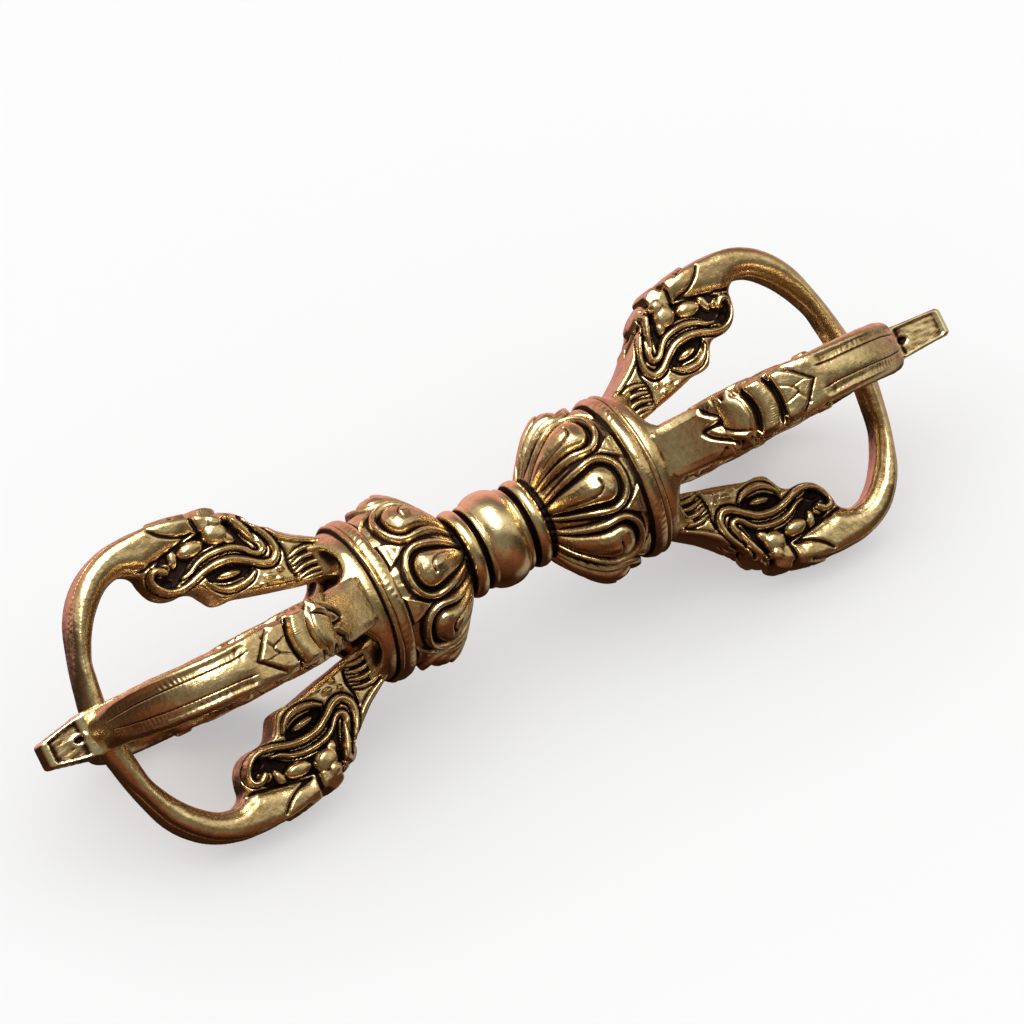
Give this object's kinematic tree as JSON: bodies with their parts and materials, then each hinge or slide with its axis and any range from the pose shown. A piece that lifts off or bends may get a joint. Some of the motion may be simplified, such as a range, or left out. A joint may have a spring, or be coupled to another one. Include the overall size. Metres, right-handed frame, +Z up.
{
  "type": "vajra",
  "caption": "Small aged-brass vajra with a round grip knob, lotus cups and curved prongs closing round a square tip at each end.",
  "frame": {"origin": "middle of the hub knob, which is the centre of the whole vajra", "axes": "+X along the vajra towards its right tip, +Z up with two curved prongs of each end resting below"},
  "size_m": [0.07, 0.0176, 0.0176],
  "materials": {
    "aged_brass": "polished"
  },
  "bodies": {
    "root": {"hub_knob": "aged_brass", "collar_left": "aged_brass", "lotus_cup_left": "aged_brass", "rim_ring_left": "aged_brass", "prong_seat_left": "aged_brass", "central_prong_left": "aged_brass", "outer_prong_left_upper_front": "aged_brass", "outer_prong_left_lower_front": "aged_brass", "outer_prong_left_lower_back": "aged_brass", "outer_prong_left_upper_back": "aged_brass", "collar_right": "aged_brass", "lotus_cup_right": "aged_brass", "rim_ring_right": "aged_brass", "prong_seat_right": "aged_brass", "central_prong_right": "aged_brass", "outer_prong_right_upper_front": "aged_brass", "outer_prong_right_lower_front": "aged_brass", "outer_prong_right_lower_back": "aged_brass", "outer_prong_right_upper_back": "aged_brass"}
  },
  "joints": []
}
